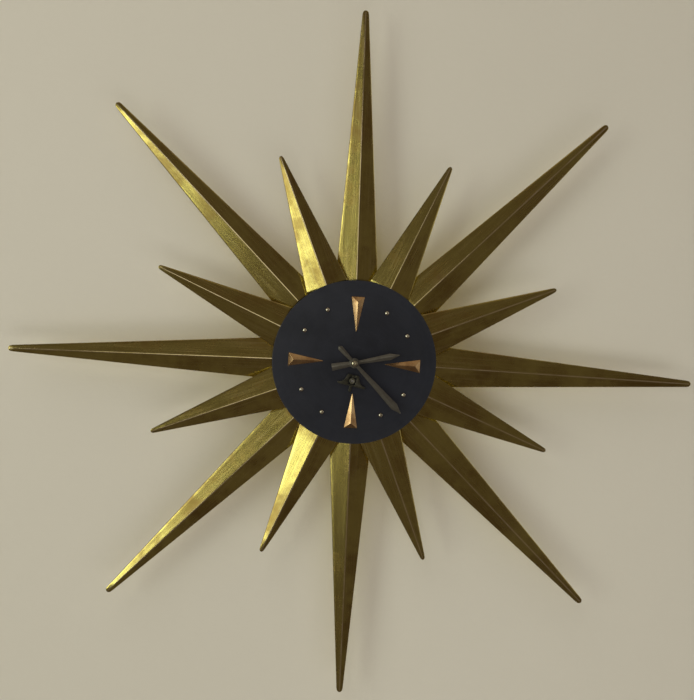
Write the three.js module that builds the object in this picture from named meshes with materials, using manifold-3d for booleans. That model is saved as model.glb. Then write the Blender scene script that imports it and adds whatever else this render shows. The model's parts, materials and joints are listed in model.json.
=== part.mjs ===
// Sunburst wall clock with an eight-day, front-wound balance movement.
//
// Frame: millimetres, +X to the right and +Z up as the clock is read, +Y into the wall.
// The origin is the point of the rear case's flat back that lies on the axis of the hands,
// so the wall is the plane y = 0 and the clock stands out of it towards -Y.
// "Clockwise" is always as the clock is read.

import * as THREE from 'three';
import { mergeVertices } from 'three/addons/utils/BufferGeometryUtils.js';
import { ConvexGeometry } from 'three/addons/geometries/ConvexGeometry.js';
import Module from 'manifold-3d';

const wasm = await Module();
wasm.setup();

// ---------------------------------------------------------------- driving dimensions

const REST = 0.05;                 // gap left between faces that rest on each other

// rays
const LONG_R = 345;                // centre to tip of a long ray
const SHORT_R = 215.3;             // centre to tip of a short ray
const RAY_T = 0.9;                 // sheet thickness
const RAY_INNER_R = 46.5;          // inner end of the flat tongue
const TONGUE_W = 6.6;              // half-width of the tongue
const TONGUE_END_R = 61;           // where the tongue begins to open into the V
const FOLD_R = 79;                 // where the V has its full width
const LONG_HALF = 19.8;            // half-width at radius 100
const LONG_TIP_HALF = 3.2;
const LONG_RIDGE = 6.0;            // ridge over the edges at radius 100
const SHORT_HALF = 18.55;
const SHORT_TIP_HALF = 2.5;
const SHORT_RIDGE = 6.5;
const SHORT_LIFT = 5.9;            // the short rays' edges stand this far in front of the long ones'
// hand-set angles of the rays, degrees clockwise from their even places
const LONG_OFF = [-1.49, -1.27, 0.61, -1.56, -1.02, -1.49, -1.13, -0.89];
const SHORT_OFF = [0.53, -0.45, -0.75, -0.24, 0.10, 0.14, 0.27, -0.56];

// depths, all negative: towards the reader
const CASE_R = 60, CASE_WALL = 1.2, CASE_BACK = 1.5, CASE_RIM_Y = -27.0;
const CARRIER_Y = -27.05, CARRIER_T = 2.4, CARRIER_R = 66, CARRIER_HOLE_R = 39;
const RAY_Y = CARRIER_Y - CARRIER_T - REST;          // back of the tongues
const FRONT_PLATE_Y = RAY_Y, PLATE_T = 1.5, FRONT_PLATE_R = 44.5;
const BACK_PLATE_Y = -6.8, BACK_PLATE_R = 41;
const S0 = BACK_PLATE_Y - PLATE_T;                   // front face of the back plate
const DIAL_BACK_Y = -46.0, DIAL_T = 2.0, DIAL_R = 81.3;
const DIAL_Y = DIAL_BACK_Y - DIAL_T;                 // front face of the dial

// markers and studs
const MARKER_TIP_R = 30.8, MARKER_BASE_R = 65.4, MARKER_APEX_R = 60.2, MARKER_HALF = 6.6, MARKER_H = 3.4;
const STUD_RING_R = 58.6, STUD_R = 2.3, STUD_H = 2.0;

// hands
const HOUR_ANGLE = 76.6, MINUTE_ANGLE = 134.2;       // degrees clockwise from twelve
const HOUR_Y = -53.6, MINUTE_Y = -55.4, HAND_T = 1.2;

// winding key
const KEY_TILT = 10.4;                               // degrees clockwise
const KEY_PIN_V = 4.7, KEY_PIN_W = 2.6, KEY_PIN_R = 0.6;   // hinge pin: above the arbor, and in front of the dial
const KEY_PLATE_W0 = 1.8, KEY_PLATE_T = 1.6, KEY_SOCKET_W = 5.0;
const KEY_SWEEP = 14.8;                              // the wings' reach from the arbor

// arbor places in the plane of the plates, [x, z]
const O = [0, 0];                                    // centre
const B = [-1.0, -17.8];                             // barrel and winding arbor
const polar = (p, r, deg) => [p[0] + r * Math.cos(deg * Math.PI / 180), p[1] + r * Math.sin(deg * Math.PI / 180)];
// tooth counts, [wheel, pinion it drives], and the distance between the two arbors
const GREAT = [42, 6], INTER = [48, 7], CENTRE = [48, 6], THIRD = [45, 6], FOURTH = [48, 6];
const CANNON = [10, 30], MOTION = [8, 32];
const D_GREAT = 16.32, D_INTER = 14.8, D_CENTRE = 14.4, D_THIRD = 12.92, D_FOURTH = 11.88, D_MOTION = 14.4;
const moduleOf = ([a, b], d) => 2 * d / (a + b);
const between = (p, rp, q, rq, side) => {            // meeting point of two circles
  const d = Math.hypot(q[0] - p[0], q[1] - p[1]);
  const a = (rp * rp - rq * rq + d * d) / (2 * d), h = Math.sqrt(rp * rp - a * a) * side;
  const ux = (q[0] - p[0]) / d, uz = (q[1] - p[1]) / d;
  return [p[0] + a * ux - h * uz, p[1] + a * uz + h * ux];
};
const I = between(O, D_INTER, B, D_GREAT, 1);      // intermediate
const T = polar(O, D_CENTRE, 145);                              // third
const F = polar(T, D_THIRD, 50);                                // fourth
const E = polar(F, D_FOURTH, -10);                              // escape
const P = polar(E, 9.0, -15);                                                  // pallets
const W = polar(P, 11.5, -30);                                                 // balance
const M = polar(O, D_MOTION, 30);                              // minute wheel
const C = polar(B, 9.8, 160);                                                  // click
const PILLARS = [60, 180, 300].map((a) => polar(O, 35.4, a));
const SCREWED = [0, 2];                                                        // pillars that take a case screw

// ---------------------------------------------------------------- shape helpers

const rad = THREE.MathUtils.degToRad;

// only positions, shared vertices merged, no zero-area triangles, faces pointing out
function closed(geometry) {
  const g = geometry.clone();
  for (const name of Object.keys(g.attributes)) if (name !== 'position') g.deleteAttribute(name);
  const m = mergeVertices(g, 1e-4);
  const p = m.attributes.position, src = m.index.array, keep = [];
  let volume = 0;
  const a = new THREE.Vector3(), b = new THREE.Vector3(), c = new THREE.Vector3();
  for (let i = 0; i < src.length; i += 3) {
    const [i0, i1, i2] = [src[i], src[i + 1], src[i + 2]];
    if (i0 === i1 || i1 === i2 || i2 === i0) continue;
    a.fromBufferAttribute(p, i0); b.fromBufferAttribute(p, i1); c.fromBufferAttribute(p, i2);
    volume += a.dot(b.clone().cross(c));
    keep.push(i0, i1, i2);
  }
  if (volume < 0) for (let i = 0; i < keep.length; i += 3) [keep[i + 1], keep[i + 2]] = [keep[i + 2], keep[i + 1]];
  m.setIndex(keep);
  return m;
}

function solid(geometry) {
  const g = closed(geometry);
  return new wasm.Manifold(new wasm.Mesh({
    numProp: 3,
    vertProperties: new Float32Array(g.attributes.position.array),
    triVerts: new Uint32Array(g.index.array),
  }));
}

function geometryOf(manifold) {
  const k = manifold.getMesh(), n = k.numProp, count = k.vertProperties.length / n;
  const xyz = new Float32Array(count * 3);
  for (let i = 0; i < count; i++) for (let j = 0; j < 3; j++) xyz[3 * i + j] = k.vertProperties[n * i + j];
  const g = new THREE.BufferGeometry();
  g.setAttribute('position', new THREE.BufferAttribute(xyz, 3));
  g.setIndex(Array.from(k.triVerts));
  return g;
}

const union = (...parts) => geometryOf(parts.map((g) => solid(g)).reduce((x, y) => x.add(y)));
const cut = (body, ...tools) => geometryOf(tools.map((g) => solid(g)).reduce((x, y) => x.subtract(y), solid(body)));

// a flat outline in the reader's plane, thick from yRear forward to yFront
function slab(shape, yRear, yFront, curveSegments = 4) {
  const g = new THREE.ExtrudeGeometry(shape, { depth: yRear - yFront, bevelEnabled: false, steps: 1, curveSegments });
  g.rotateX(Math.PI / 2);
  g.translate(0, yRear, 0);
  return g;
}
// a turned piece about an axis along Y: profile of [radius, y]
function turned(profile, segments = 16) {
  return new THREE.LatheGeometry(profile.map(([r, y]) => new THREE.Vector2(r, y)), segments);
}
const rod = (r, yRear, yFront, segments = 16) => turned([[0, yRear], [r, yRear], [r, yFront], [0, yFront]], segments);
const at = (g, [x, z]) => g.clone().translate(x, 0, z);
const poly = (points) => new THREE.Shape(points.map(([x, z]) => new THREE.Vector2(x, z)));
const box = (u0, u1, y0, y1, v0, v1) => {
  const g = new THREE.BoxGeometry(Math.abs(u1 - u0), Math.abs(y1 - y0), Math.abs(v1 - v0));
  return g.translate((u0 + u1) / 2, (y0 + y1) / 2, (v0 + v1) / 2);
};
const aim = (p, q) => Math.atan2(q[1] - p[1], q[0] - p[0]);

// toothed outline: slender straight-sided teeth, one tooth centred on the angle phase;
// wheel teeth come to a point, pinion leaves have a flat top
function gear(teeth, module, phase, { add, ded, root, tip }, hole = 0) {
  const r = module * teeth / 2, pitch = 2 * Math.PI / teeth, pts = [];
  const rr = r - ded * module, rt = r + add * module;
  for (let i = 0; i < teeth; i++) {
    const a = phase + i * pitch;
    const tooth = tip ? [[rr, -root], [rt, -tip], [rt, tip], [rr, root]] : [[rr, -root], [rt, 0], [rr, root]];
    for (const [q, d] of tooth) pts.push([q * Math.cos(a + d * pitch), q * Math.sin(a + d * pitch)]);
  }
  const s = poly(pts);
  if (hole) {
    const h = new THREE.Path();
    h.absarc(0, 0, hole, 0, 2 * Math.PI, true);
    s.holes.push(h);
  }
  return s;
}
const WHEEL = { add: 0.85, ded: 1.25, root: 0.30, tip: 0 };
const PINION = { add: 0.75, ded: 1.30, root: 0.18, tip: 0.085 };
const pair = (teeth, d) => [
  (phase, hole) => gear(teeth[0], moduleOf(teeth, d), phase, WHEEL, hole),
  (phase) => gear(teeth[1], moduleOf(teeth, d), phase, PINION),
];
const [greatWheel, interPinion] = pair(GREAT, D_GREAT);
const [interWheel, centrePinion] = pair(INTER, D_INTER);
const [centreWheel, thirdPinion] = pair(CENTRE, D_CENTRE);
const [thirdWheel, fourthPinion] = pair(THIRD, D_THIRD);
const [fourthWheel, escapePinion] = pair(FOURTH, D_FOURTH);

// meshing phases: the wheel points a tooth along the line of centres, the pinion a gap
const toothAt = (from, to) => aim(from, to);
const gapAt = (from, to, teeth) => aim(from, to) + Math.PI / teeth;

const root = new THREE.Group();
root.name = 'sunburst_wall_clock';
const groups = {};
for (const name of ['rays', 'dial', 'hands', 'winding', 'case', 'movement', 'motion_work']) {
  groups[name] = new THREE.Group();
  groups[name].name = `group_${name}`;
  root.add(groups[name]);
}
const finish = {
  brass: () => new THREE.MeshStandardMaterial({ color: 0x8f7a35, roughness: 0.38, metalness: 1 }),
  marker: () => new THREE.MeshStandardMaterial({ color: 0xb08a50, roughness: 0.3, metalness: 1 }),
  stud: () => new THREE.MeshStandardMaterial({ color: 0xcfc79a, roughness: 0.22, metalness: 1 }),
  dial: () => new THREE.MeshStandardMaterial({ color: 0x2b2c31, roughness: 0.42, metalness: 0.1 }),
  hand: () => new THREE.MeshStandardMaterial({ color: 0x4a4942, roughness: 0.35, metalness: 0.6 }),
  key: () => new THREE.MeshStandardMaterial({ color: 0x45463a, roughness: 0.45, metalness: 0.8 }),
  case: () => new THREE.MeshStandardMaterial({ color: 0x1f1f20, roughness: 0.5, metalness: 0.2 }),
  plate: () => new THREE.MeshStandardMaterial({ color: 0xb59a4a, roughness: 0.35, metalness: 1 }),
  wheel: () => new THREE.MeshStandardMaterial({ color: 0xc2a552, roughness: 0.3, metalness: 1 }),
  steel: () => new THREE.MeshStandardMaterial({ color: 0x9a9a98, roughness: 0.3, metalness: 1 }),
  spring: () => new THREE.MeshStandardMaterial({ color: 0x4b5566, roughness: 0.3, metalness: 1 }),
};
function piece(group, name, geometry, look, place = [0, 0], turn = 0) {
  const mesh = new THREE.Mesh(closed(geometry), finish[look]());
  mesh.name = name;
  mesh.position.set(place[0], 0, place[1]);
  mesh.rotation.y = turn;
  groups[group].add(mesh);
  return mesh;
}

// ---------------------------------------------------------------- rays

// A ray is one folded sheet: a flat tongue that rests on the carrier, opening into a V
// whose ridge faces the reader and whose back is open, tapering to a rounded tip.
function ray(tipR, half, tipHalf, ridge, lift) {
  const width = (r) => half + (tipHalf - half) * (r - 100) / (tipR - 3 - 100);
  const stations = [[RAY_INNER_R, TONGUE_W, 0, 0], [TONGUE_END_R, TONGUE_W, 0, 0]];
  for (const f of [0.5, 1]) {
    const r = TONGUE_END_R + (FOLD_R - TONGUE_END_R) * f;
    stations.push([r, TONGUE_W + (width(FOLD_R) - TONGUE_W) * f, ridge * width(FOLD_R) / half * f, lift * f]);
  }
  for (const [back, wf, hf] of [[14, 1, 1], [4.5, 1, 0.55], [1.4, 0.84, 0.25], [0, 0.35, 0.05]]) {
    const r = tipR - back, w = width(Math.min(r, tipR - 3));
    stations.push([r, w * wf, ridge * w / half * hf, lift]);
  }
  const n = stations.length - 1;
  const chevron = poly([[-1, 0], [0, 1], [1, 0], [1, 0.3], [0, 1.3], [-1, 0.3]]);
  const g = new THREE.ExtrudeGeometry(chevron, { depth: 1, steps: n, bevelEnabled: false });
  const p = g.attributes.position;
  for (let i = 0; i < p.count; i++) {
    const x = Math.round(p.getX(i)), y = p.getY(i), [r, w, h, l] = stations[Math.round(p.getZ(i) * n)];
    const onRidge = 1 - Math.abs(x), front = y - onRidge > 0.15 ? 1 : 0;
    p.setXYZ(i, x * w, RAY_Y - l - onRidge * h - front * RAY_T, r);
  }
  return g;
}
for (let i = 0; i < 8; i++) {
  piece('rays', `ray_long_${i + 1}`, ray(LONG_R, LONG_HALF, LONG_TIP_HALF, LONG_RIDGE, 0), 'brass',
    [0, 0], rad(45 * i + LONG_OFF[i]));
}
for (let i = 0; i < 8; i++) {
  piece('rays', `ray_short_${i + 1}`, ray(SHORT_R, SHORT_HALF, SHORT_TIP_HALF, SHORT_RIDGE, SHORT_LIFT), 'brass',
    [0, 0], rad(45 * i + 22.5 + SHORT_OFF[i]));
}

// ---------------------------------------------------------------- dial, markers, studs

const dialProfile = [
  [0, DIAL_BACK_Y], [DIAL_R - 0.6, DIAL_BACK_Y], [DIAL_R, DIAL_BACK_Y - 0.5],
  [DIAL_R, DIAL_Y + 0.5], [DIAL_R - 0.6, DIAL_Y], [0, DIAL_Y],
];
piece('dial', 'dial', cut(turned(dialProfile, 60),
  rod(3.6, DIAL_BACK_Y + 2, DIAL_Y - 2, 24), at(rod(3.2, DIAL_BACK_Y + 2, DIAL_Y - 2, 20), B)), 'dial');

for (const [hour, name] of [[0, 'marker_12'], [3, 'marker_3'], [6, 'marker_6'], [9, 'marker_9']]) {
  const y0 = DIAL_Y - REST;
  const g = new ConvexGeometry([
    new THREE.Vector3(-MARKER_HALF, y0, MARKER_BASE_R), new THREE.Vector3(MARKER_HALF, y0, MARKER_BASE_R),
    new THREE.Vector3(-0.35, y0, MARKER_TIP_R), new THREE.Vector3(0.35, y0, MARKER_TIP_R),
    new THREE.Vector3(0, y0 - MARKER_H, MARKER_APEX_R), new THREE.Vector3(0, y0 - 0.35, MARKER_TIP_R + 0.5),
  ]);
  piece('dial', name, g, 'marker', [0, 0], rad(30 * hour));
}
for (const hour of [1, 2, 4, 5, 7, 8, 10, 11]) {
  const a = rad(30 * hour), y0 = DIAL_Y - REST;
  piece('dial', `stud_${hour}`, turned([[0, y0], [STUD_R, y0], [STUD_R * 0.97, y0 - STUD_H * 0.3],
    [STUD_R * 0.74, y0 - STUD_H * 0.74], [STUD_R * 0.38, y0 - STUD_H * 0.95], [0, y0 - STUD_H]], 10),
  'stud', [STUD_RING_R * Math.sin(a), STUD_RING_R * Math.cos(a)]);
}

// ---------------------------------------------------------------- hands

// baton outline pointing to +Z: pairs of [distance, half-width] from the tail to the tip
const baton = (pairs) => poly([...pairs.map(([r, w]) => [-w, r]), ...pairs.slice().reverse().map(([r, w]) => [w, r])]);
const hourShape = baton([[-22.6, 3.6], [-9, 2.9], [-3, 2.2], [3, 1.9], [8, 1.9], [36, 3.2], [45.2, 0.35]]);
const minuteShape = baton([[-22.6, 0.9], [-20.6, 2.5], [-5, 1.7], [5, 1.7], [14, 2.0], [58, 3.7], [67.3, 0.4]]);
piece('hands', 'hour_hand', cut(union(slab(hourShape, HOUR_Y, HOUR_Y - HAND_T), rod(5.0, HOUR_Y, HOUR_Y - HAND_T, 16)),
  rod(2.67, HOUR_Y + 1, HOUR_Y - HAND_T - 1, 18)), 'hand', [0, 0], rad(HOUR_ANGLE));
piece('hands', 'minute_hand', cut(union(slab(minuteShape, MINUTE_Y, MINUTE_Y - HAND_T), rod(4.2, MINUTE_Y, MINUTE_Y - HAND_T, 16)),
  rod(1.82, MINUTE_Y + 1, MINUTE_Y - HAND_T - 1, 16)), 'hand', [0, 0], rad(MINUTE_ANGLE));
const NUT_Y = MINUTE_Y - HAND_T - REST;
piece('hands', 'hand_nut', cut(turned([[0, NUT_Y], [3.1, NUT_Y], [3.1, NUT_Y - 1.2], [2.5, NUT_Y - 2.0], [1.3, NUT_Y - 2.5], [0, NUT_Y - 2.6]], 12),
  rod(1.82, NUT_Y + 1, NUT_Y - 1.5, 16)), 'stud');

// ---------------------------------------------------------------- winding key (folds flat on the dial)

// socket: a sleeve on the arbor's end with an open eye in front, an ear above for the hinge pin
// and a flat spring tongue below, under the wings
const ky = (w) => DIAL_Y - w;
{
  const sleeve = turned([[0, ky(0.3)], [3.0, ky(0.3)], [3.0, ky(KEY_SOCKET_W - 0.6)], [2.5, ky(KEY_SOCKET_W)], [0, ky(KEY_SOCKET_W)]], 18);
  const ear = box(-1.5, 1.5, ky(1.6), ky(3.9), 2.2, 5.7);
  const tongue = box(-1.3, 1.3, ky(0.35), ky(1.3), -2.2, -11.4);
  const hole = new THREE.CylinderGeometry(KEY_PIN_R + 0.07, KEY_PIN_R + 0.07, 6, 12).rotateZ(Math.PI / 2)
    .translate(0, ky(KEY_PIN_W), KEY_PIN_V);
  piece('winding', 'key_socket', cut(union(sleeve, ear, tongue), hole, rod(1.97, ky(-1), ky(3.8), 16), rod(1.4, ky(4.2), ky(8), 12)),
    'key', B, rad(KEY_TILT));
  // wings: a fan that is narrow at the hinge and widest along its straight lower grip edge,
  // so that it stands clear in front of the hands once it is folded out
  // every point stays within KEY_SWEEP of the arbor, so the folded key also turns clear of the hands' sleeves
  const outline = new THREE.Shape(), low = -5.4, end = Math.sqrt(KEY_SWEEP * KEY_SWEEP - 4.0 * 4.0);
  outline.moveTo(-13.4, low); outline.lineTo(13.4, low);
  outline.lineTo(end, -4.0); outline.lineTo(end - 0.5, -3.4);
  outline.quadraticCurveTo(9.2, -2.8, 7.2, 1.2);
  outline.lineTo(5.4, 6.0); outline.lineTo(-5.4, 6.0); outline.lineTo(-7.2, 1.2);
  outline.quadraticCurveTo(-9.2, -2.8, -end + 0.5, -3.4);
  outline.lineTo(-end, -4.0);
  const plate = slab(outline, ky(KEY_PLATE_W0), ky(KEY_PLATE_W0 + KEY_PLATE_T), 3);
  const window_ = box(-3.5, 3.5, ky(0), ky(8), -3.8, 3.6);
  const notch = box(-1.9, 1.9, ky(0), ky(8), 3, 8);
  const pin = new THREE.CylinderGeometry(KEY_PIN_R, KEY_PIN_R, 5.4, 12).rotateZ(Math.PI / 2)
    .translate(0, ky(KEY_PIN_W), KEY_PIN_V);
  piece('winding', 'key_wings', geometryOf(solid(cut(plate, window_, notch)).add(solid(pin))), 'key', B, rad(KEY_TILT));
}

// ---------------------------------------------------------------- rear case, hanger, ray carrier, screws

piece('case', 'rear_case', cut(
  turned([[0, 0], [58.6, 0], [CASE_R, -1.4], [CASE_R, CASE_RIM_Y], [CASE_R - CASE_WALL, CASE_RIM_Y],
    [CASE_R - CASE_WALL, -CASE_BACK], [0, -CASE_BACK]], 48),
  ...SCREWED.map((i) => at(rod(1.95, 1, -3, 10), PILLARS[i]))), 'case');
for (const [k, i] of SCREWED.entries()) {
  const r = 1.3;                   // countersunk into the back: the head stays under the wall plane
  piece('case', `case_screw_${k + 1}`, turned([[0, -0.1], [1.8, -0.1], [1.8, -0.7], [r, -1.3], [r, -6.2], [0, -6.2]], 10),
    'steel', PILLARS[i]);
}
// hanger: a tab above the case with an eye for the wall nail, its foot bent forward along the case
{
  const tab = new THREE.Shape();
  tab.moveTo(-12, 60.6); tab.lineTo(12, 60.6); tab.lineTo(12, 70);
  tab.absarc(0, 70, 12, 0, Math.PI, false);
  const foot = box(-12, 12, 0, -14, 60.3, 62.0);
  piece('case', 'hanger_plate', cut(union(slab(tab, 0, -1.6, 5), foot), at(rod(4.5, 1, -3, 16), [0, 70.5])), 'steel');
}
piece('case', 'ray_carrier', turned([[CARRIER_HOLE_R, CARRIER_Y], [CARRIER_R, CARRIER_Y], [CARRIER_R, CARRIER_Y - CARRIER_T],
  [CARRIER_HOLE_R, CARRIER_Y - CARRIER_T], [CARRIER_HOLE_R, CARRIER_Y]], 36), 'steel');

// ---------------------------------------------------------------- movement

const s = (d) => S0 - d;                             // distance in front of the back plate
const S1 = S0 - FRONT_PLATE_Y;                       // room between the plates
const PIVOT = 0.5, PIVOT_HOLE = 0.57, PIVOT_IN = 1.3;
const bored = [I, T, F, E, P, W];

{
  const front = cut(rod(FRONT_PLATE_R, FRONT_PLATE_Y, FRONT_PLATE_Y - PLATE_T, 36),
    rod(1.17, -20, -40, 16), at(rod(2.46, -20, -40, 16), B),
    ...bored.map((q) => at(rod(PIVOT_HOLE, -20, -40, 8), q)), ...PILLARS.map((q) => at(rod(2.06, -20, -40, 10), q)));
  piece('movement', 'front_plate', union(front,
    at(rod(1.0, FRONT_PLATE_Y - 0.5, -38.8, 12), M), at(rod(1.2, FRONT_PLATE_Y - 0.5, -34.2, 12), C)), 'plate');
  piece('movement', 'back_plate', cut(rod(BACK_PLATE_R, BACK_PLATE_Y, S0, 30),
    rod(PIVOT_HOLE, -2, -12, 8), at(rod(1.66, -2, -12, 16), B),
    ...bored.map((q) => at(rod(PIVOT_HOLE, -2, -12, 8), q)), ...PILLARS.map((q) => at(rod(2.06, -2, -12, 10), q))), 'plate');
}
PILLARS.forEach((q, i) => {
  const rear = -CASE_BACK - REST, fp = FRONT_PLATE_Y;
  const post = turned([[0, rear], [2.0, rear], [2.0, S0 - REST], [3.0, S0 - REST], [3.0, fp + REST], [2.0, fp + REST],
    [2.0, DIAL_BACK_Y + REST], [0, DIAL_BACK_Y + REST]], 10);
  piece('movement', `pillar_${i + 1}`, SCREWED.includes(i) ? cut(post, rod(1.36, 0, -6.6, 10)) : post, 'steel', q);
});

// barrel: a drum with a bored lid and floor, the great wheel round its front end
{
  const drum = turned([[3.07, s(4)], [13.7, s(4)], [13.7, s(15)], [3.07, s(15)], [3.07, s(14)], [12.9, s(14)],
    [12.9, s(5)], [3.07, s(5)], [3.07, s(4)]], 24);
  piece('movement', 'mainspring_barrel', union(drum, slab(greatWheel(toothAt(B, I), 13.2), s(13.2), s(15), 6)), 'wheel', B);
  const turns = 4.5, r0 = 4.1, r1 = 12.1, t = 0.45, n = 50, outer = [], inner = [];
  for (let i = 0; i <= n; i++) {
    const f = i / n, a = 2 * Math.PI * turns * f, r = r0 + (r1 - r0) * f;
    outer.push([(r + t / 2) * Math.cos(a), (r + t / 2) * Math.sin(a)]);
    inner.push([(r - t / 2) * Math.cos(a), (r - t / 2) * Math.sin(a)]);
  }
  piece('movement', 'mainspring', slab(poly([...outer, ...inner.reverse()]), s(5.4), s(13.6)), 'spring', B);
  piece('winding', 'winding_arbor', turned([[0, s(-PIVOT_IN)], [1.6, s(-PIVOT_IN)], [1.6, s(1.5)], [3.0, s(1.5)], [3.0, s(15.8)], [2.4, s(15.8)],
    [2.4, ky(0.2)], [1.9, ky(0.2)], [1.9, ky(3.6)], [0, ky(3.6)]], 16), 'steel', B);
}
// ratchet wheel on the winding arbor in front of the front plate, and its click
{
  const teeth = 24, pts = [], pitch = 2 * Math.PI / teeth, phase = rad(120) + rad(2.2);
  for (let i = 0; i < teeth; i++) {
    const a = phase + i * pitch;
    pts.push([7.0 * Math.cos(a), 7.0 * Math.sin(a)], [6.1 * Math.cos(a - 0.12 * pitch), 6.1 * Math.sin(a - 0.12 * pitch)]);
  }
  pts.reverse();
  piece('winding', 'ratchet_wheel', cut(slab(poly(pts), -31.7, -33.3), rod(2.47, -30, -36, 16)), 'steel', B);
  const tipPoint = [B[0] + 7.16 * Math.cos(rad(120)) - C[0], B[1] + 7.16 * Math.sin(rad(120)) - C[1]];
  const l = Math.hypot(...tipPoint), ux = tipPoint[0] / l, uz = tipPoint[1] / l;
  const arm = poly([[-uz * 1.3, ux * 1.3], [tipPoint[0] - uz * 0.75, tipPoint[1] + ux * 0.75], tipPoint, [uz * 0.5 + ux * 1, -ux * 0.5 + uz * 1]].reverse());
  piece('winding', 'click', cut(union(slab(arm, -31.7, -33.3), rod(2.1, -31.7, -33.3, 14)), rod(1.27, -30, -36, 14)), 'steel', C);
}

// an arbor with its wheel and pinion, pivoted in both plates
function train(name, place, wheel, wheelS, pinion, pinionS, arborR) {
  const parts = [turned([[0, s(-PIVOT_IN)], [PIVOT, s(-PIVOT_IN)], [PIVOT, s(0.12)], [arborR, s(0.12)],
    [arborR, s(S1 - 0.12)], [PIVOT, s(S1 - 0.12)], [PIVOT, s(S1 + PIVOT_IN)], [0, s(S1 + PIVOT_IN)]], 8),
  slab(wheel, s(wheelS[0]), s(wheelS[1]))];
  if (pinion) parts.push(slab(pinion, s(pinionS[0]), s(pinionS[1])));
  piece('movement', name, union(...parts), 'wheel', place);
}
train('intermediate_wheel', I, interWheel(toothAt(I, O)), [17.2, 18.4], interPinion(gapAt(I, B, GREAT[1])), [12.6, 16.4], 0.9);
train('third_wheel', T, thirdWheel(toothAt(T, F)), [6.6, 7.8], thirdPinion(gapAt(T, O, CENTRE[1])), [1.2, 3.6], 0.75);
train('fourth_wheel', F, fourthWheel(toothAt(F, E)), [11.4, 12.6], fourthPinion(gapAt(F, T, THIRD[1])), [6.0, 8.4], 0.75);
{
  const pts = [];                                    // fifteen pointed, hooked teeth
  for (let i = 0; i < 15; i++) {
    const a = rad(24 * i + 4);
    pts.push([4.6 * Math.cos(a - 0.20), 4.6 * Math.sin(a - 0.20)], [6.5 * Math.cos(a + 0.01), 6.5 * Math.sin(a + 0.01)],
      [6.5 * Math.cos(a + 0.05), 6.5 * Math.sin(a + 0.05)], [4.6 * Math.cos(a + 0.06), 4.6 * Math.sin(a + 0.06)]);
  }
  train('escape_wheel', E, poly(pts), [16, 17], escapePinion(gapAt(E, F, FOURTH[1])), [10.8, 13.2], 0.65);
}
// centre wheel: its arbor runs on through the front plate, inside the cannon pinion, towards the dial
piece('movement', 'centre_wheel', union(
  turned([[0, s(-PIVOT_IN)], [PIVOT, s(-PIVOT_IN)], [PIVOT, s(0.12)], [1.1, s(0.12)], [1.1, -56.0], [0, -56.0]], 16),
  slab(centreWheel(toothAt(O, T)), s(1.8), s(3.0)),
  slab(centrePinion(gapAt(O, I, INTER[1])), s(16.6), s(19.2))), 'wheel', O);

// pallet lever: two pallets astride the escape wheel, and a fork towards the balance roller
{
  const dE = aim(P, E), dW = aim(P, W), y0 = s(16), y1 = s(17.2);
  const bar = (from, to, w) => {
    const a = aim(from, to), nx = -Math.sin(a) * w / 2, nz = Math.cos(a) * w / 2;
    return slab(poly([[from[0] + nx, from[1] + nz], [from[0] - nx, from[1] - nz], [to[0] - nx, to[1] - nz], [to[0] + nx, to[1] + nz]]), y0, y1);
  };
  const from = (r, off) => {                         // point near the escape wheel, in the lever's own place
    const a = aim(E, P) + rad(off);
    return [E[0] + r * Math.cos(a) - P[0], E[1] + r * Math.sin(a) - P[1]];
  };
  const ends = [];
  for (const side of [-1, 1]) {
    ends.push(bar([0, 0], from(8.6, side * 36), 1.3), bar(from(8.9, side * 33.5), from(7.02, side * 30), 1.0));
  }
  const tine = (side) => {
    const n = [-Math.sin(dW), Math.cos(dW)], a = [Math.cos(dW), Math.sin(dW)];
    return bar([a[0] * 7.6 + n[0] * 0.95 * side, a[1] * 7.6 + n[1] * 0.95 * side], [a[0] * 9.6 + n[0] * 0.95 * side, a[1] * 9.6 + n[1] * 0.95 * side], 0.7);
  };
  const head = bar([Math.cos(dW) * 6.9, Math.sin(dW) * 6.9], [Math.cos(dW) * 7.9, Math.sin(dW) * 7.9], 2.6);
  piece('movement', 'pallet_lever', union(
    turned([[0, s(-PIVOT_IN)], [PIVOT, s(-PIVOT_IN)], [PIVOT, s(0.12)], [0.8, s(0.12)], [0.8, s(S1 - 0.12)], [PIVOT, s(S1 - 0.12)],
      [PIVOT, s(S1 + PIVOT_IN)], [0, s(S1 + PIVOT_IN)]], 8),
    rod(1.7, y0, y1, 10), bar([0, 0], [Math.cos(dW) * 7.3, Math.sin(dW) * 7.3], 1.3), head, tine(1), tine(-1), ...ends), 'steel', P);
}
// balance: rim, crossbar, staff and impulse roller
piece('movement', 'balance_wheel', union(
  turned([[7.5, s(8)], [9.0, s(8)], [9.0, s(9.6)], [7.5, s(9.6)], [7.5, s(8)]], 24),
  box(-8, 8, s(8.3), s(9.3), -0.9, 0.9),
  turned([[0, s(-PIVOT_IN)], [PIVOT, s(-PIVOT_IN)], [PIVOT, s(0.12)], [0.9, s(0.12)], [0.9, s(S1 - 0.12)], [PIVOT, s(S1 - 0.12)],
    [PIVOT, s(S1 + PIVOT_IN)], [0, s(S1 + PIVOT_IN)]], 8),
  rod(1.5, s(16), s(17.2), 10)), 'wheel', W);
{
  const turns = 4, r0 = 1.5, r1 = 5.6, t = 0.16, n = 40, outer = [], inner = [];
  for (let i = 0; i <= n; i++) {
    const f = i / n, a = 2 * Math.PI * turns * f, r = r0 + (r1 - r0) * f;
    outer.push([(r + t / 2) * Math.cos(a), (r + t / 2) * Math.sin(a)]);
    inner.push([(r - t / 2) * Math.cos(a), (r - t / 2) * Math.sin(a)]);
  }
  piece('movement', 'hairspring', slab(poly([...outer, ...inner.reverse()]), s(4.0), s(4.7)), 'spring', W);
}

// ---------------------------------------------------------------- motion work, between the front plate and the dial

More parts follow.
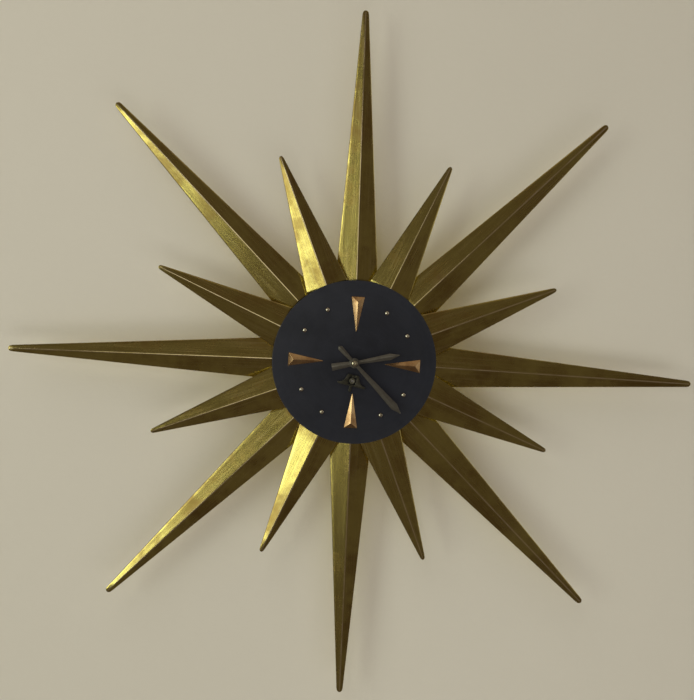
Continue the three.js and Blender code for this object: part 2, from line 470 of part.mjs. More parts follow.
// cannon pinion: a sleeve that is a tight turn on the centre arbor and carries the minute hand
const M_MOTION = moduleOf(CANNON, D_MOTION), M_HOUR = moduleOf(MOTION, D_MOTION);
piece('motion_work', 'cannon_pinion', cut(union(rod(1.75, -31.4, -57.8, 16), slab(gear(CANNON[0], M_MOTION, gapAt(O, M, CANNON[0]), PINION), -32.4, -35.4)),
  rod(1.17, -30, -64, 16)), 'steel', O);
piece('motion_work', 'minute_wheel', cut(union(slab(gear(CANNON[1], M_MOTION, toothAt(M, O), WHEEL), -33.2, -34.4),
  slab(gear(MOTION[0], M_HOUR, gapAt(M, O, MOTION[0]), PINION), -34.0, -38.0)), rod(1.07, -30, -42, 10)), 'wheel', M);
piece('motion_work', 'hour_wheel', cut(union(rod(2.6, -36.0, -54.9, 18), slab(gear(MOTION[1], M_HOUR, toothAt(O, M), WHEEL), -36.6, -37.8)),
  rod(1.83, -30, -64, 16)), 'wheel', O);

export default root;
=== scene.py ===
import json
import math

import bmesh
import bpy
from mathutils import Matrix, Vector


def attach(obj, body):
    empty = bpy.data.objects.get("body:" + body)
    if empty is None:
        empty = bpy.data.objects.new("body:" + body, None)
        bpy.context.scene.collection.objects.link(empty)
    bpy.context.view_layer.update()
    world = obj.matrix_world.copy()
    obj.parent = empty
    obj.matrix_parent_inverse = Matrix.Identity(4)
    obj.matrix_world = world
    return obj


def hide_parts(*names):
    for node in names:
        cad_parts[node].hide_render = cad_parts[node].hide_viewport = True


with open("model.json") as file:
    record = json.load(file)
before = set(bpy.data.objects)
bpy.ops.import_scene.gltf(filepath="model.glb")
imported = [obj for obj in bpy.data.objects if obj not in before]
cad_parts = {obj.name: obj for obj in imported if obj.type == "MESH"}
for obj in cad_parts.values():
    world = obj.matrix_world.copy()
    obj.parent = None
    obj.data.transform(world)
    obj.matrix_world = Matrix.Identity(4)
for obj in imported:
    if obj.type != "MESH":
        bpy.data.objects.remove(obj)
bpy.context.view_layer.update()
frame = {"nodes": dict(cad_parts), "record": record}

MM = 0.001
rad = math.radians

# ------------------------------------------------------------ camera

C = (-0.035810, -0.934091, 0.079135)
R = ((0.99782209, -0.02682728, 0.06026094), (0.05803833, -0.07708005, -0.99533423), (0.03134703, 0.99666392, -0.07535517))
cam_data = bpy.data.cameras.new("camera")
cam = bpy.data.objects.new("camera", cam_data)
bpy.context.scene.collection.objects.link(cam)
x, y, z = Vector(R[0]), -Vector(R[1]), -Vector(R[2])
m = Matrix((x, y, z)).transposed().to_4x4()
m.translation = Vector(C)
cam.matrix_world = m
cam_data.sensor_width = 36
cam_data.lens = 900 * 36 / 700
cam_data.clip_start, cam_data.clip_end = 0.01, 50
bpy.context.scene.camera = cam
bpy.context.scene.view_settings.view_transform = "Standard"

# ------------------------------------------------------------ materials

def tree(name):
    mat = bpy.data.materials.new(name)
    mat.use_nodes = True
    nt = mat.node_tree
    nt.nodes.clear()
    return mat, nt, nt.nodes, nt.links


def surface(name, base, dark, light, metallic, rough, blotch=28.0, lines=(900.0, 14.0, 14.0), line_bump=0.05,
            grain=1400.0, grain_bump=0.03, spread=(0.38, 0.66), wear_and_highlight=0.0, line_colour=0.18, specular=0.5):
    """Finish with soft blotches, fine lines that follow the piece's own 'along' direction, and lighter edges: rubbed
    wear, and on the rays' crease a painted highlight.
    """
    mat, nt, n, l = tree(name)
    out = n.new("ShaderNodeOutputMaterial")
    p = n.new("ShaderNodeBsdfPrincipled")
    p.inputs["Metallic"].default_value = metallic
    p.inputs["Specular IOR Level"].default_value = specular
    l.new(p.outputs[0], out.inputs[0])
    tc = n.new("ShaderNodeTexCoord")
    at = n.new("ShaderNodeAttribute"); at.attribute_name = "grainway"
    wear_and_highlight_mask = n.new("ShaderNodeAttribute"); wear_and_highlight_mask.attribute_name = "wear_and_highlight_mask"

    def noise(vec, scale, detail, roughness=0.55):
        t = n.new("ShaderNodeTexNoise")
        t.inputs["Scale"].default_value = scale
        t.inputs["Detail"].default_value = detail
        t.inputs["Roughness"].default_value = roughness
        l.new(vec, t.inputs["Vector"])
        return t.outputs["Fac"]

    def ramp(value, lo, hi, a=0.0, b=1.0):
        r = n.new("ShaderNodeMapRange")
        r.interpolation_type = "SMOOTHSTEP"
        for k, v in zip(("From Min", "From Max", "To Min", "To Max"), (lo, hi, a, b)):
            r.inputs[k].default_value = v
        l.new(value, r.inputs["Value"])
        return r.outputs["Result"]

    def mix(fac, a, b):
        q = n.new("ShaderNodeMix"); q.data_type = "RGBA"
        if isinstance(fac, float):
            q.inputs["Factor"].default_value = fac
        else:
            l.new(fac, q.inputs["Factor"])
        for s, v in ((6, a), (7, b)):
            if isinstance(v, tuple):
                q.inputs[s].default_value = (*v, 1)
            else:
                l.new(v, q.inputs[s])
        return q.outputs[2]

    def math_(op, a, b):
        q = n.new("ShaderNodeMath"); q.operation = op
        for s, v in enumerate((a, b)):
            if isinstance(v, (int, float)):
                q.inputs[s].default_value = v
            else:
                l.new(v, q.inputs[s])
        return q.outputs[0]

    obj = tc.outputs["Object"]
    big = noise(obj, blotch, 6.0, 0.6)
    mid = noise(obj, blotch * 4.3, 4.0)
    mapping = n.new("ShaderNodeMapping")
    mapping.inputs["Scale"].default_value = lines
    l.new(at.outputs["Vector"], mapping.inputs["Vector"])
    streak = noise(mapping.outputs[0], 1.0, 3.0, 0.7)
    fine = noise(obj, grain, 2.0)
    stain = ramp(math_("ADD", math_("MULTIPLY", big, 0.72), math_("MULTIPLY", mid, 0.28)), *spread)
    colour = mix(stain, base, dark)
    colour = mix(math_("MULTIPLY", ramp(streak, 0.45, 0.75), line_colour), colour, light)
    # edges mixed toward the light colour: rubbed wear, and on the rays' crease a painted highlight
    if wear_and_highlight:
        edge = math_("MULTIPLY", wear_and_highlight_mask.outputs["Fac"], ramp(mid, 0.25, 0.6, 0.45, 1.0))
        edge = math_("MULTIPLY", edge, wear_and_highlight)
        colour = mix(edge, colour, light)
    l.new(colour, p.inputs["Base Color"])
    r = math_("ADD", ramp(stain, 0.0, 1.0, rough[0], rough[1]), math_("MULTIPLY", math_("SUBTRACT", streak, 0.5), 0.16))
    if wear_and_highlight:
        r = math_("SUBTRACT", r, math_("MULTIPLY", edge, 0.10))
    l.new(r, p.inputs["Roughness"])
    b1 = n.new("ShaderNodeBump"); b1.inputs["Strength"].default_value = line_bump; b1.inputs["Distance"].default_value = 0.0004
    l.new(streak, b1.inputs["Height"])
    b2 = n.new("ShaderNodeBump"); b2.inputs["Strength"].default_value = grain_bump; b2.inputs["Distance"].default_value = 0.0003
    l.new(fine, b2.inputs["Height"]); l.new(b1.outputs[0], b2.inputs["Normal"])
    l.new(b2.outputs[0], p.inputs["Normal"])
    return mat


M = {
    # on the rays the full-strength edge mix paints the crease near-white cream: rubbed wear plus a painted highlight
    "ray_brass": surface("ray_brass", (0.49, 0.415, 0.115), (0.27, 0.185, 0.050), (0.98, 0.86, 0.55), 1.0, (0.19, 0.31),
                         blotch=21.0, wear_and_highlight=1.0, line_bump=0.10, line_colour=0.13),
    "dial_black": surface("dial_black", (0.0165, 0.0185, 0.026), (0.0105, 0.0115, 0.016), (0.05, 0.054, 0.066), 0.0, (0.34, 0.48),
                          blotch=22.0, lines=(260.0, 260.0, 260.0), line_bump=0.03, grain=2600.0, grain_bump=0.12, wear_and_highlight=0.5, line_colour=0.10, specular=0.22),
    "marker_brass": surface("marker_brass", (0.50, 0.335, 0.155), (0.33, 0.18, 0.07), (0.85, 0.76, 0.55), 1.0, (0.22, 0.32), blotch=60.0, wear_and_highlight=0.12),
    "stud_brass": surface("stud_brass", (0.80, 0.77, 0.62), (0.54, 0.50, 0.36), (0.95, 0.92, 0.78), 1.0, (0.14, 0.28), blotch=120.0, wear_and_highlight=0.3),
    "hand_dark": surface("hand_dark", (0.120, 0.116, 0.098), (0.070, 0.066, 0.055), (0.30, 0.29, 0.24), 0.85, (0.36, 0.52), blotch=70.0, wear_and_highlight=0.45, line_bump=0.12),
    "nut_brass": surface("nut_brass", (0.24, 0.215, 0.13), (0.12, 0.105, 0.065), (0.85, 0.80, 0.58), 1.0, (0.22, 0.40), blotch=160.0, wear_and_highlight=0.8),
    "key_bronze": surface("key_bronze", (0.075, 0.074, 0.055), (0.038, 0.037, 0.028), (0.32, 0.31, 0.23), 0.85, (0.36, 0.55), blotch=110.0, wear_and_highlight=0.75),
    "steel": surface("steel", (0.33, 0.33, 0.32), (0.20, 0.198, 0.19), (0.72, 0.72, 0.70), 1.0, (0.24, 0.42), blotch=90.0, wear_and_highlight=0.6),
    "zinc_steel": surface("zinc_steel", (0.52, 0.52, 0.49), (0.36, 0.355, 0.33), (0.74, 0.74, 0.72), 1.0, (0.34, 0.52), blotch=45.0, wear_and_highlight=0.5, grain_bump=0.10),
    "case_black": surface("case_black", (0.026, 0.026, 0.028), (0.017, 0.017, 0.018), (0.11, 0.11, 0.105), 0.0, (0.42, 0.60), blotch=40.0, grain=1100.0, grain_bump=0.30, wear_and_highlight=0.6),
    "plate_brass": surface("plate_brass", (0.60, 0.47, 0.21), (0.40, 0.28, 0.11), (0.80, 0.70, 0.42), 1.0, (0.26, 0.44), blotch=35.0, wear_and_highlight=0.5),
    "wheel_brass": surface("wheel_brass", (0.66, 0.52, 0.24), (0.45, 0.32, 0.13), (0.86, 0.76, 0.50), 1.0, (0.22, 0.38), blotch=80.0, wear_and_highlight=0.5),
    "spring_steel": surface("spring_steel", (0.11, 0.15, 0.25), (0.07, 0.075, 0.10), (0.32, 0.36, 0.44), 1.0, (0.20, 0.36), blotch=60.0, wear_and_highlight=0.3),
}
SLOTS = {s["node"]: s["material_slot"] for s in frame["record"]["subparts"]}

# ------------------------------------------------------------ mesh helpers (millimetres in, metres out)


def finish_mesh(name, bm, slot, body, nodes, smooth=35.0, place=(0, 0), turn=0.0):
    """Puts a bmesh made in the piece's own place (u right, y depth, v up) into the row frame and hangs it on its body."""
    rot = Matrix.Rotation(turn, 4, "Y")
    bmesh.ops.remove_doubles(bm, verts=bm.verts, dist=1e-4)
    bmesh.ops.recalc_face_normals(bm, faces=bm.faces)
    bmesh.ops.transform(bm, matrix=Matrix.Scale(MM, 4) @ Matrix.Translation((place[0], 0, place[1])) @ rot, verts=bm.verts)
    me = bpy.data.meshes.new(name)
    bm.to_mesh(me)
    bm.free()
    for f in me.polygons:
        f.use_smooth = True
    me.set_sharp_from_angle(angle=rad(smooth))
    me.materials.append(M[slot])
    o = bpy.data.objects.new(name, me)
    bpy.context.scene.collection.objects.link(o)
    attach(o, body)
    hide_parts(*nodes)
    return o


def layers(bm):
    g = bm.verts.layers.float_vector.get("grainway") or bm.verts.layers.float_vector.new("grainway")
    w = bm.verts.layers.float.get("wear_and_highlight_mask") or bm.verts.layers.float.new("wear_and_highlight_mask")
    return g, w


def fillet(profile, r=0.3, n=3, closed=False):
    """Rounds the corners of a profile of (radius, y), leaving points on the axis alone."""
    out, k = [], len(profile)
    for i, (a, b) in enumerate(profile):
        if (not closed and i in (0, k - 1)) or a <= 1e-6:
            out.append((a, b, 0.0)); continue
        p, q, c = Vector(profile[i - 1]), Vector(profile[(i + 1) % k]), Vector((a, b))
        d1, d2 = p - c, q - c
        s = min(r, d1.length * 0.45, d2.length * 0.45)
        if s < 1e-3 or d1.angle(d2) > rad(165):
            out.append((a, b, 0.0)); continue
        u, v = c + d1.normalized() * s, c + d2.normalized() * s
        for j in range(n + 1):
            t = j / n
            w = u * (1 - t) ** 2 + c * (2 * t * (1 - t)) + v * t * t
            out.append((w.x, w.y, 1.0 - abs(2 * t - 1) * 0.5))
    return out


def lathe(profile, segments=72, r=0.3, n=3, closed=False, bm=None):
    """Turned piece about the Y axis. Lines run round it."""
    own = bm or bmesh.new()
    g, w = layers(own)
    prof = fillet(profile, r, n, closed)
    rings, length = [], 0.0
    for i, (a, b, e) in enumerate(prof):
        if i:
            length += math.hypot(a - prof[i - 1][0], b - prof[i - 1][1])
        ring = []
        for k in range(1 if a <= 1e-6 else segments):
            t = 2 * math.pi * k / segments
            v = own.verts.new((a * math.cos(t), b, a * math.sin(t)))
            v[g] = Vector((length * MM, 0.0, b * MM)); v[w] = e
            ring.append(v)
        rings.append(ring)
    pairs = list(zip(rings, rings[1:])) + ([(rings[-1], rings[0])] if closed else [])
    for a, b in pairs:
        for k in range(segments):
            q = [a[k % len(a)], a[(k + 1) % len(a)], b[(k + 1) % len(b)], b[k % len(b)]]
            q = [v for i, v in enumerate(q) if v not in q[:i]]
            if len(q) > 2:
                try:
                    own.faces.new(q)
                except ValueError:
                    pass
    return own


def loft(sections, bm=None):
    """Closed skin through equal-length loops of (point, along, across, wear-and-highlight mask), capped at both ends.
    """
    own = bm or bmesh.new()
    g, w = layers(own)
    loops = []
    for sec in sections:
        loop = []
        for p, gv, e in sec:
            v = own.verts.new(p); v[g] = Vector(gv); v[w] = e
            loop.append(v)
        loops.append(loop)
    for a, b in zip(loops, loops[1:]):
        for k in range(len(a)):
            j = (k + 1) % len(a)
            own.faces.new((a[k], a[j], b[j], b[k]))
    own.faces.new(loops[0][::-1])
    own.faces.new(loops[-1])
    return own


def outline(points, holes, y_rear, y_front, bevel, resolution=2):
    """Flat piece of any outline with holes and rounded edges, made as a filled curve and turned into a mesh."""
    cu = bpy.data.curves.new("tmp", "CURVE")
    cu.dimensions, cu.fill_mode = "2D", "BOTH"
    thick = abs(y_rear - y_front)
    cu.extrude, cu.bevel_depth, cu.bevel_resolution, cu.offset = thick / 2 - bevel, bevel, resolution, -bevel
    for pts in [points, *holes]:
        s = cu.splines.new("POLY")
        s.points.add(len(pts) - 1)
        for q, (a, b) in zip(s.points, pts):
            q.co = (a, b, 0, 1)
        s.use_cyclic_u = True
    o = bpy.data.objects.new("tmp", cu)
    bpy.context.scene.collection.objects.link(o)
    bpy.context.view_layer.update()
    me = bpy.data.meshes.new_from_object(o.evaluated_get(bpy.context.evaluated_depsgraph_get()))
    bm = bmesh.new(); bm.from_mesh(me)
    bpy.data.objects.remove(o); bpy.data.curves.remove(cu); bpy.data.meshes.remove(me)
    bmesh.ops.remove_doubles(bm, verts=bm.verts, dist=1e-4)
    mid = (y_rear + y_front) / 2
    g, w = layers(bm)
    for v in bm.verts:
        a, b, c = v.co
        v.co = (a, mid - c, b)
        v[g] = Vector((b * MM, a * MM, c * MM))
        v[w] = 1.0 if abs(c) < thick / 2 - bevel * 0.15 else 0.0
    return bm


def arc(cx, cy, r, a0, a1, n):
    return [(cx + r * math.cos(rad(a0 + (a1 - a0) * i / n)), cy + r * math.sin(rad(a0 + (a1 - a0) * i / n))) for i in range(n + 1)]


def smooth_corners(points, r=0.6, n=3):
    out, k = [], len(points)
    for i in range(k):
        p, c, q = Vector(points[i - 1]), Vector(points[i]), Vector(points[(i + 1) % k])
        s = min(r, (p - c).length * 0.4, (q - c).length * 0.4)
        u, v = c + (p - c).normalized() * s, c + (q - c).normalized() * s
        for j in range(n + 1):
            t = j / n
            out.append(tuple(u * (1 - t) ** 2 + c * (2 * t * (1 - t)) + v * t * t))
    return out


def bore(o, places, y0=-70.0, y1=5.0):
    """Cuts round holes of (x, z, radius) along Y through a piece already in the row frame."""
    for (px, pz, r) in places:
        bm = bmesh.new()
        bmesh.ops.create_cone(bm, cap_ends=True, segments=40, radius1=r * MM, radius2=r * MM, depth=abs(y1 - y0) * MM)
        bmesh.ops.rotate(bm, cent=(0, 0, 0), matrix=Matrix.Rotation(math.pi / 2, 3, "X"), verts=bm.verts)
        bmesh.ops.translate(bm, vec=(px * MM, (y0 + y1) / 2 * MM, pz * MM), verts=bm.verts)
        me = bpy.data.meshes.new("cutter"); bm.to_mesh(me); bm.free()
        c = bpy.data.objects.new("cutter", me)
        bpy.context.scene.collection.objects.link(c)
        mod = o.modifiers.new("hole", "BOOLEAN")
        mod.operation, mod.object, mod.solver = "DIFFERENCE", c, "EXACT"
        bpy.context.view_layer.update()
        new = bpy.data.meshes.new_from_object(o.evaluated_get(bpy.context.evaluated_depsgraph_get()))
        o.modifiers.clear()
        old, o.data = o.data, new
        bpy.data.meshes.remove(old)
        bpy.data.objects.remove(c); bpy.data.meshes.remove(me)
        o.data.set_sharp_from_angle(angle=rad(35))
    return o


# ------------------------------------------------------------ rays

RAY_Y, RAY_T, INNER, TW, TE, FR = -29.5, 0.9, 46.5, 6.6, 61.0, 79.0
LONG_OFF = [-1.49, -1.27, 0.61, -1.56, -1.02, -1.49, -1.13, -0.89]
SHORT_OFF = [0.53, -0.45, -0.75, -0.24, 0.10, 0.14, 0.27, -0.56]


def lerp(table, r):
    for a, b in zip(table, table[1:]):
        if r <= b[0]:
            t = (r - a[0]) / (b[0] - a[0])
            return [p + (q - p) * t for p, q in zip(a[1:], b[1:])]
    return list(table[-1][1:])


def ray(name, tip, half, tip_half, ridge, lift, angle, seed):
    width = lambda r: half + (tip_half - half) * (r - 100) / (tip - 3 - 100)
    st = [(INNER, TW, 0.0, 0.0), (TE, TW, 0.0, 0.0)]
    for f in (0.5, 1.0):
        st.append((TE + (FR - TE) * f, TW + (width(FR) - TW) * f, ridge * width(FR) / half * f, lift * f))
    for back, wf, hf in ((14, 1, 1), (4.5, 1, 0.55), (1.4, 0.84, 0.25), (0, 0.35, 0.05)):
        r = tip - back; w = width(min(r, tip - 3))
        st.append((r, w * wf, ridge * w / half * hf, lift))
    rs = [INNER, 53.0, TE] + [TE + (FR - TE) * i / 8 for i in range(1, 9)]
    body = 44
    rs += [FR + (tip - 14 - FR) * i / body for i in range(1, body + 1)]
    rs += [tip - b for b in (12, 10, 8, 6, 4.5, 3.2, 2.2, 1.4, 0.9, 0.5, 0.2, 0.0)]
    # across the sheet: dense at the crease and at the edges
    us = [-1, -0.985, -0.95, -0.8, -0.6, -0.4, -0.22, -0.1, -0.05, -0.025, 0, 0.025, 0.05, 0.1, 0.22, 0.4, 0.6, 0.8, 0.95, 0.985, 1]
    sections = []
    for r in rs:
        w, h, li = lerp(st, r)
        crease = 0.55 / max(w, 1.0)                       # half-width of the rounded crease
        dent = 0.10 * min(1.0, h / 3.0)

        def top(u):
            a = abs(u)
            rise = 1 - a if a > crease else 1 - (crease + a * a / crease) / 2
            wave = dent * (math.sin(r * 0.031 + seed * 1.7 + u * 2.1) + 0.5 * math.sin(r * 0.083 + seed * 3.1 - u * 3.3)) * (1 - a) * a * 2
            return h * rise - abs(wave)
        loop = []
        for u in us:
            e = max(0.0, 1 - abs(u) * w / 0.75)            # the crease: lightened as rubbed wear and as a painted highlight
            e = max(e, max(0.0, 1 - (1 - abs(u)) * w / 0.45) * 0.25) if h > 0.2 else e * 0
            round_ = 0.25 * max(0.0, 1 - (1 - abs(u)) * w / 0.35)
            loop.append(((u * w, RAY_Y - li - top(u) - RAY_T + round_, r), ((u * w + seed * 37) * MM, r * MM, 0.0), e))
        for u in reversed(us):
            loop.append(((u * w * (1 if abs(u) < 1 else 0.998), RAY_Y - li - top(u) - 0.02, r), ((u * w + seed * 37) * MM, r * MM, 0.0), 0.0))
        sections.append(loop)
    finish_mesh(name + "_sheet", loft(sections), "ray_brass", "frame", [name], smooth=42, turn=rad(angle))


for i in range(8):
    ray(f"ray_long_{i + 1}", 345.0, 19.8, 3.2, 6.0, 0.0, 45 * i + LONG_OFF[i], i + 1)
    ray(f"ray_short_{i + 1}", 215.3, 18.55, 2.5, 6.5, 5.9, 45 * i + 22.5 + SHORT_OFF[i], i + 11)

# ------------------------------------------------------------ dial, markers, studs

DIAL_B, DIAL_Y, B = -46.0, -48.0, (-1.0, -17.8)
dial = finish_mesh("dial_disc", lathe([(0, DIAL_B), (81.3, DIAL_B), (81.3, DIAL_Y), (0, DIAL_Y)], 160, r=0.7, n=5), "dial_black", "frame", ["dial"])
bore(dial, [(0, 0, 3.6), (B[0], B[1], 3.2)])

for hour, node in ((0, "marker_12"), (3, "marker_3"), (6, "marker_6"), (9, "marker_9")):
    # hipped wedge: a sharp tip towards the centre, a ridge rising outward to an apex, and a hipped end
    bm = bmesh.new(); g, w = layers(bm)
    y0 = DIAL_Y - 0.05
    base = [(-6.6, y0, 65.4), (6.6, y0, 65.4), (0.35, y0, 30.8), (-0.35, y0, 30.8)]
    low = [bm.verts.new(p) for p in base]
    rim = [bm.verts.new((p[0] * 0.985, y0 - 0.35, p[2] + (0.3 if k > 1 else -0.25))) for k, p in enumerate(base)]
    apex = bm.verts.new((0, y0 - 3.35, 60.2)); nose = bm.verts.new((0, y0 - 0.5, 31.6))
    for k in range(4):
        bm.faces.new((low[k], low[(k + 1) % 4], rim[(k + 1) % 4], rim[k]))
    bm.faces.new(low[::-1])
    bm.faces.new((rim[0], rim[1], apex)); bm.faces.new((rim[1], rim[2], nose, apex))
    bm.faces.new((rim[2], rim[3], nose)); bm.faces.new((rim[3], rim[0], apex, nose))
    bmesh.ops.recalc_face_normals(bm, faces=bm.faces)
    bmesh.ops.bevel(bm, geom=[e for e in bm.edges if e.calc_length() > 1.0], offset=0.07, segments=2, profile=0.6, affect="EDGES", clamp_overlap=True)
    for v in bm.verts:
        v[g] = Vector((v.co.x * MM, v.co.z * MM, 0)); v[w] = 0.5 if abs(v.co.x) < 0.3 else 0.0
    finish_mesh(node + "_wedge", bm, "marker_brass", "frame", [node], smooth=9, turn=rad(30 * hour))

for hour in (1, 2, 4, 5, 7, 8, 10, 11):
    y0, a = DIAL_Y - 0.05, rad(30 * hour)
    dome = [(0, y0), (2.3, y0)] + [(2.27 * math.cos(t), y0 - 0.25 - 1.72 * math.sin(t)) for t in [rad(9 * k) for k in range(0, 10)]][:-1] + [(0, y0 - 1.97)]
    finish_mesh(f"stud_{hour}_dome", lathe(dome, 36, r=0.12, n=2), "stud_brass", "frame", [f"stud_{hour}"], smooth=50,
                place=(58.6 * math.sin(a), 58.6 * math.cos(a)))

# ------------------------------------------------------------ hands


def hand(name, pairs, y_rear, thick, boss, hole, slot, body, node, angle):
    """Baton with two brushed facets that meet in a ridge down the middle, and a raised boss."""
    stations = []
    for (r0, w0), (r1, w1) in zip(pairs, pairs[1:]):
        k = max(2, int((r1 - r0) / 1.6))
        stations += [(r0 + (r1 - r0) * i / k, w0 + (w1 - w0) * i / k) for i in range(k)]
    stations.append(pairs[-1])
    secs = []
    for r, w in stations:
        edge = thick * 0.45
        crown = thick - 0.01 if w > 0.9 else edge + (thick - edge) * w / 0.9
        pts = [(-w, 0), (-w, edge * 0.8), (-w * 0.96, edge), (-w * 0.08, crown - 0.02), (0, crown), (w * 0.08, crown - 0.02), (w * 0.96, edge), (w, edge * 0.8), (w, 0)]
        secs.append([((u, y_rear - d, r), (u * MM, r * MM, 0.0), 0.9 if abs(u) <= w * 0.09 or abs(u) >= w * 0.95 else 0.0) for u, d in pts])
    bm = loft(secs)
    o = finish_mesh(name, bm, slot, body, [node], smooth=5, turn=rad(angle))
    ring = [(0, y_rear), (boss, y_rear), (boss, y_rear - thick), (0, y_rear - thick)]
    b = finish_mesh(name + "_boss", lathe(ring, 48, r=0.2, n=3), slot, body, [node])
    for p in (o, b):
        bore(p, [(0, 0, hole)])


hand("hour_hand_baton", [(-22.6, 3.6), (-9, 2.9), (-3, 2.2), (3, 1.9), (8, 1.9), (36, 3.2), (45.2, 0.35)], -53.6, 1.2, 5.0, 2.67, "hand_dark", "hour_hand", "hour_hand", 76.6)
hand("minute_hand_baton", [(-22.6, 0.9), (-20.6, 2.5), (-5, 1.7), (5, 1.7), (14, 2.0), (58, 3.7), (67.3, 0.4)], -55.4, 1.2, 4.2, 1.82, "hand_dark", "minute_hand", "minute_hand", 134.2)
NY = -56.65
nut = lathe([(0, NY), (3.1, NY), (3.1, NY - 1.2), (2.6, NY - 1.9), (1.5, NY - 2.4), (0.9, NY - 2.45), (0.7, NY - 2.15), (0, NY - 2.1)], 72, r=0.25, n=3)
for v in nut.verts:                                        # fine knurl round the rim
    a = math.hypot(v.co.x, v.co.z)
    if a > 3.0:
        t = math.atan2(v.co.z, v.co.x)
        s = 1 - 0.035 * (0.5 + 0.5 * math.cos(t * 36))
        v.co.x *= s; v.co.z *= s
bore(finish_mesh("hand_nut_knurled", nut, "nut_brass", "minute_hand", ["hand_nut"], smooth=40), [(0, 0, 1.82)], y0=NY - 1.5, y1=NY + 3)

# ------------------------------------------------------------ winding key

ky = lambda w: DIAL_Y - w
TILT = rad(10.4)
sock = lathe([(1.97, ky(0.3)), (3.0, ky(0.3)), (3.0, ky(4.4)), (2.5, ky(5.0)), (1.4, ky(5.0)), (1.4, ky(3.8)), (1.97, ky(3.8))], 48, r=0.18, n=2, closed=True)
finish_mesh("key_socket_sleeve", sock, "key_bronze", "winding", ["key_socket"], place=B)
ear = outline(smooth_corners([(-1.5, 2.6), (1.5, 2.6), (1.5, 5.7), (-1.5, 5.7)], 0.8, 4), [], ky(1.6), ky(3.9), 0.2)
finish_mesh("key_socket_ear", ear, "key_bronze", "winding", ["key_socket"], place=B, turn=TILT)
tongue = outline(smooth_corners([(-1.3, -2.7), (1.3, -2.7), (1.3, -11.4), (-1.3, -11.4)][::-1], 0.9, 4), [], ky(0.35), ky(1.3), 0.2)
finish_mesh("key_socket_tongue", tongue, "key_bronze", "winding", ["key_socket"], place=B, turn=TILT)
end = math.sqrt(14.8 ** 2 - 16)
right = [(13.4, -5.4), (end, -4.0), (end - 0.5, -3.4), (11.4, -3.05), (9.7, -2.2), (8.4, -0.9), (7.2, 1.2), (5.4, 6.0)]
wing = right + [(1.9, 6.0), (1.9, 3.6), (3.5, 3.6), (3.5, -3.8), (-3.5, -3.8), (-3.5, 3.6), (-1.9, 3.6), (-1.9, 6.0)] + [(-a, b) for a, b in reversed(right)]
plate = outline(smooth_corners(wing, 0.5, 3), [], ky(1.8), ky(3.4), 0.3)
finish_mesh("key_wings_plate", plate, "key_bronze", "key_wings", ["key_wings"], place=B, turn=TILT)
pin = bmesh.new()
bmesh.ops.create_cone(pin, cap_ends=True, segments=24, radius1=0.6, radius2=0.6, depth=5.4)
bmesh.ops.rotate(pin, cent=(0, 0, 0), matrix=Matrix.Rotation(math.pi / 2, 3, "Y"), verts=pin.verts)
bmesh.ops.translate(pin, vec=(0, ky(2.6), 4.7), verts=pin.verts)
bmesh.ops.bevel(pin, geom=[e for e in pin.edges if abs(abs(e.verts[0].co.x) - 2.7) < 1e-3 and abs(abs(e.verts[1].co.x) - 2.7) < 1e-3], offset=0.12, segments=2, affect="EDGES")
layers(pin)
finish_mesh("key_hinge_pin", pin, "key_bronze", "key_wings", ["key_wings"], place=B, turn=TILT)

# ------------------------------------------------------------ case, carrier, hanger, screws, pillars

PILLARS = [(35.4 * math.cos(rad(a)), 35.4 * math.sin(rad(a))) for a in (60, 180, 300)]
shell = [(0, 0), (58.6, 0), (60, -1.4), (60, -26.0), (60, -27.0), (58.8, -27.0), (58.8, -1.5), (0, -1.5)]
bore(finish_mesh("rear_case_shell", lathe(shell, 144, r=0.45, n=4), "case_black", "frame", ["rear_case"]),
     [(*PILLARS[0], 1.95), (*PILLARS[2], 1.95)], y0=-3.0, y1=3.0)
ring = [(39, -27.05), (66, -27.05), (66, -29.45), (39, -29.45)]
finish_mesh("ray_carrier_ring", lathe(ring, 144, r=0.35, n=3, closed=True), "zinc_steel", "frame", ["ray_carrier"])
tab = [(-12, 60.6), (12, 60.6)] + arc(0, 70, 12, 0, 180, 28)
finish_mesh("hanger_tab", outline(tab, [arc(0, 70.5, 4.5, 0, 351, 39)], 0, -1.6, 0.25), "zinc_steel", "frame", ["hanger_plate"])
foot = bmesh.new()
bmesh.ops.create_cube(foot, size=1.0)
bmesh.ops.scale(foot, vec=(24, 13.9, 1.65), verts=foot.verts)
bmesh.ops.translate(foot, vec=(0, -7.05, 61.15), verts=foot.verts)
bmesh.ops.bevel(foot, geom=list(foot.edges), offset=0.3, segments=3, affect="EDGES")
layers(foot)
finish_mesh("hanger_foot", foot, "zinc_steel", "frame", ["hanger_plate"])
for k, i in enumerate((0, 2)):
    head = [(0, -0.45), (0.35, -0.12), (1.75, -0.12), (1.8, -0.3), (1.8, -0.7), (1.3, -1.3), (1.3, -6.2), (0, -6.2)]
    bm = lathe(head, 40, r=0.08, n=2)
    finish_mesh(f"case_screw_{k + 1}_countersunk", bm, "steel", "frame", [f"case_screw_{k + 1}"], place=PILLARS[i])
for i, q in enumerate(PILLARS):
    post = [(0, -1.55), (2.0, -1.55), (2.0, -8.35), (3.0, -8.35), (3.0, -12.0), (2.6, -12.6), (2.6, -25.0), (3.0, -25.6), (3.0, -29.45), (2.0, -29.45), (2.0, -45.95), (0, -45.95)]
    o = finish_mesh(f"pillar_{i + 1}_turned", lathe(post, 40, r=0.15, n=2), "steel", "frame", [f"pillar_{i + 1}"], place=q)
    if i != 1:
        bore(o, [(*q, 1.36)], y0=-6.6, y1=3.0)

# ------------------------------------------------------------ carried-over nodes

for node, o in frame["nodes"].items():
    o.data.materials.clear()
    o.data.materials.append(M[SLOTS[node]])

# ------------------------------------------------------------ wall, floor, light

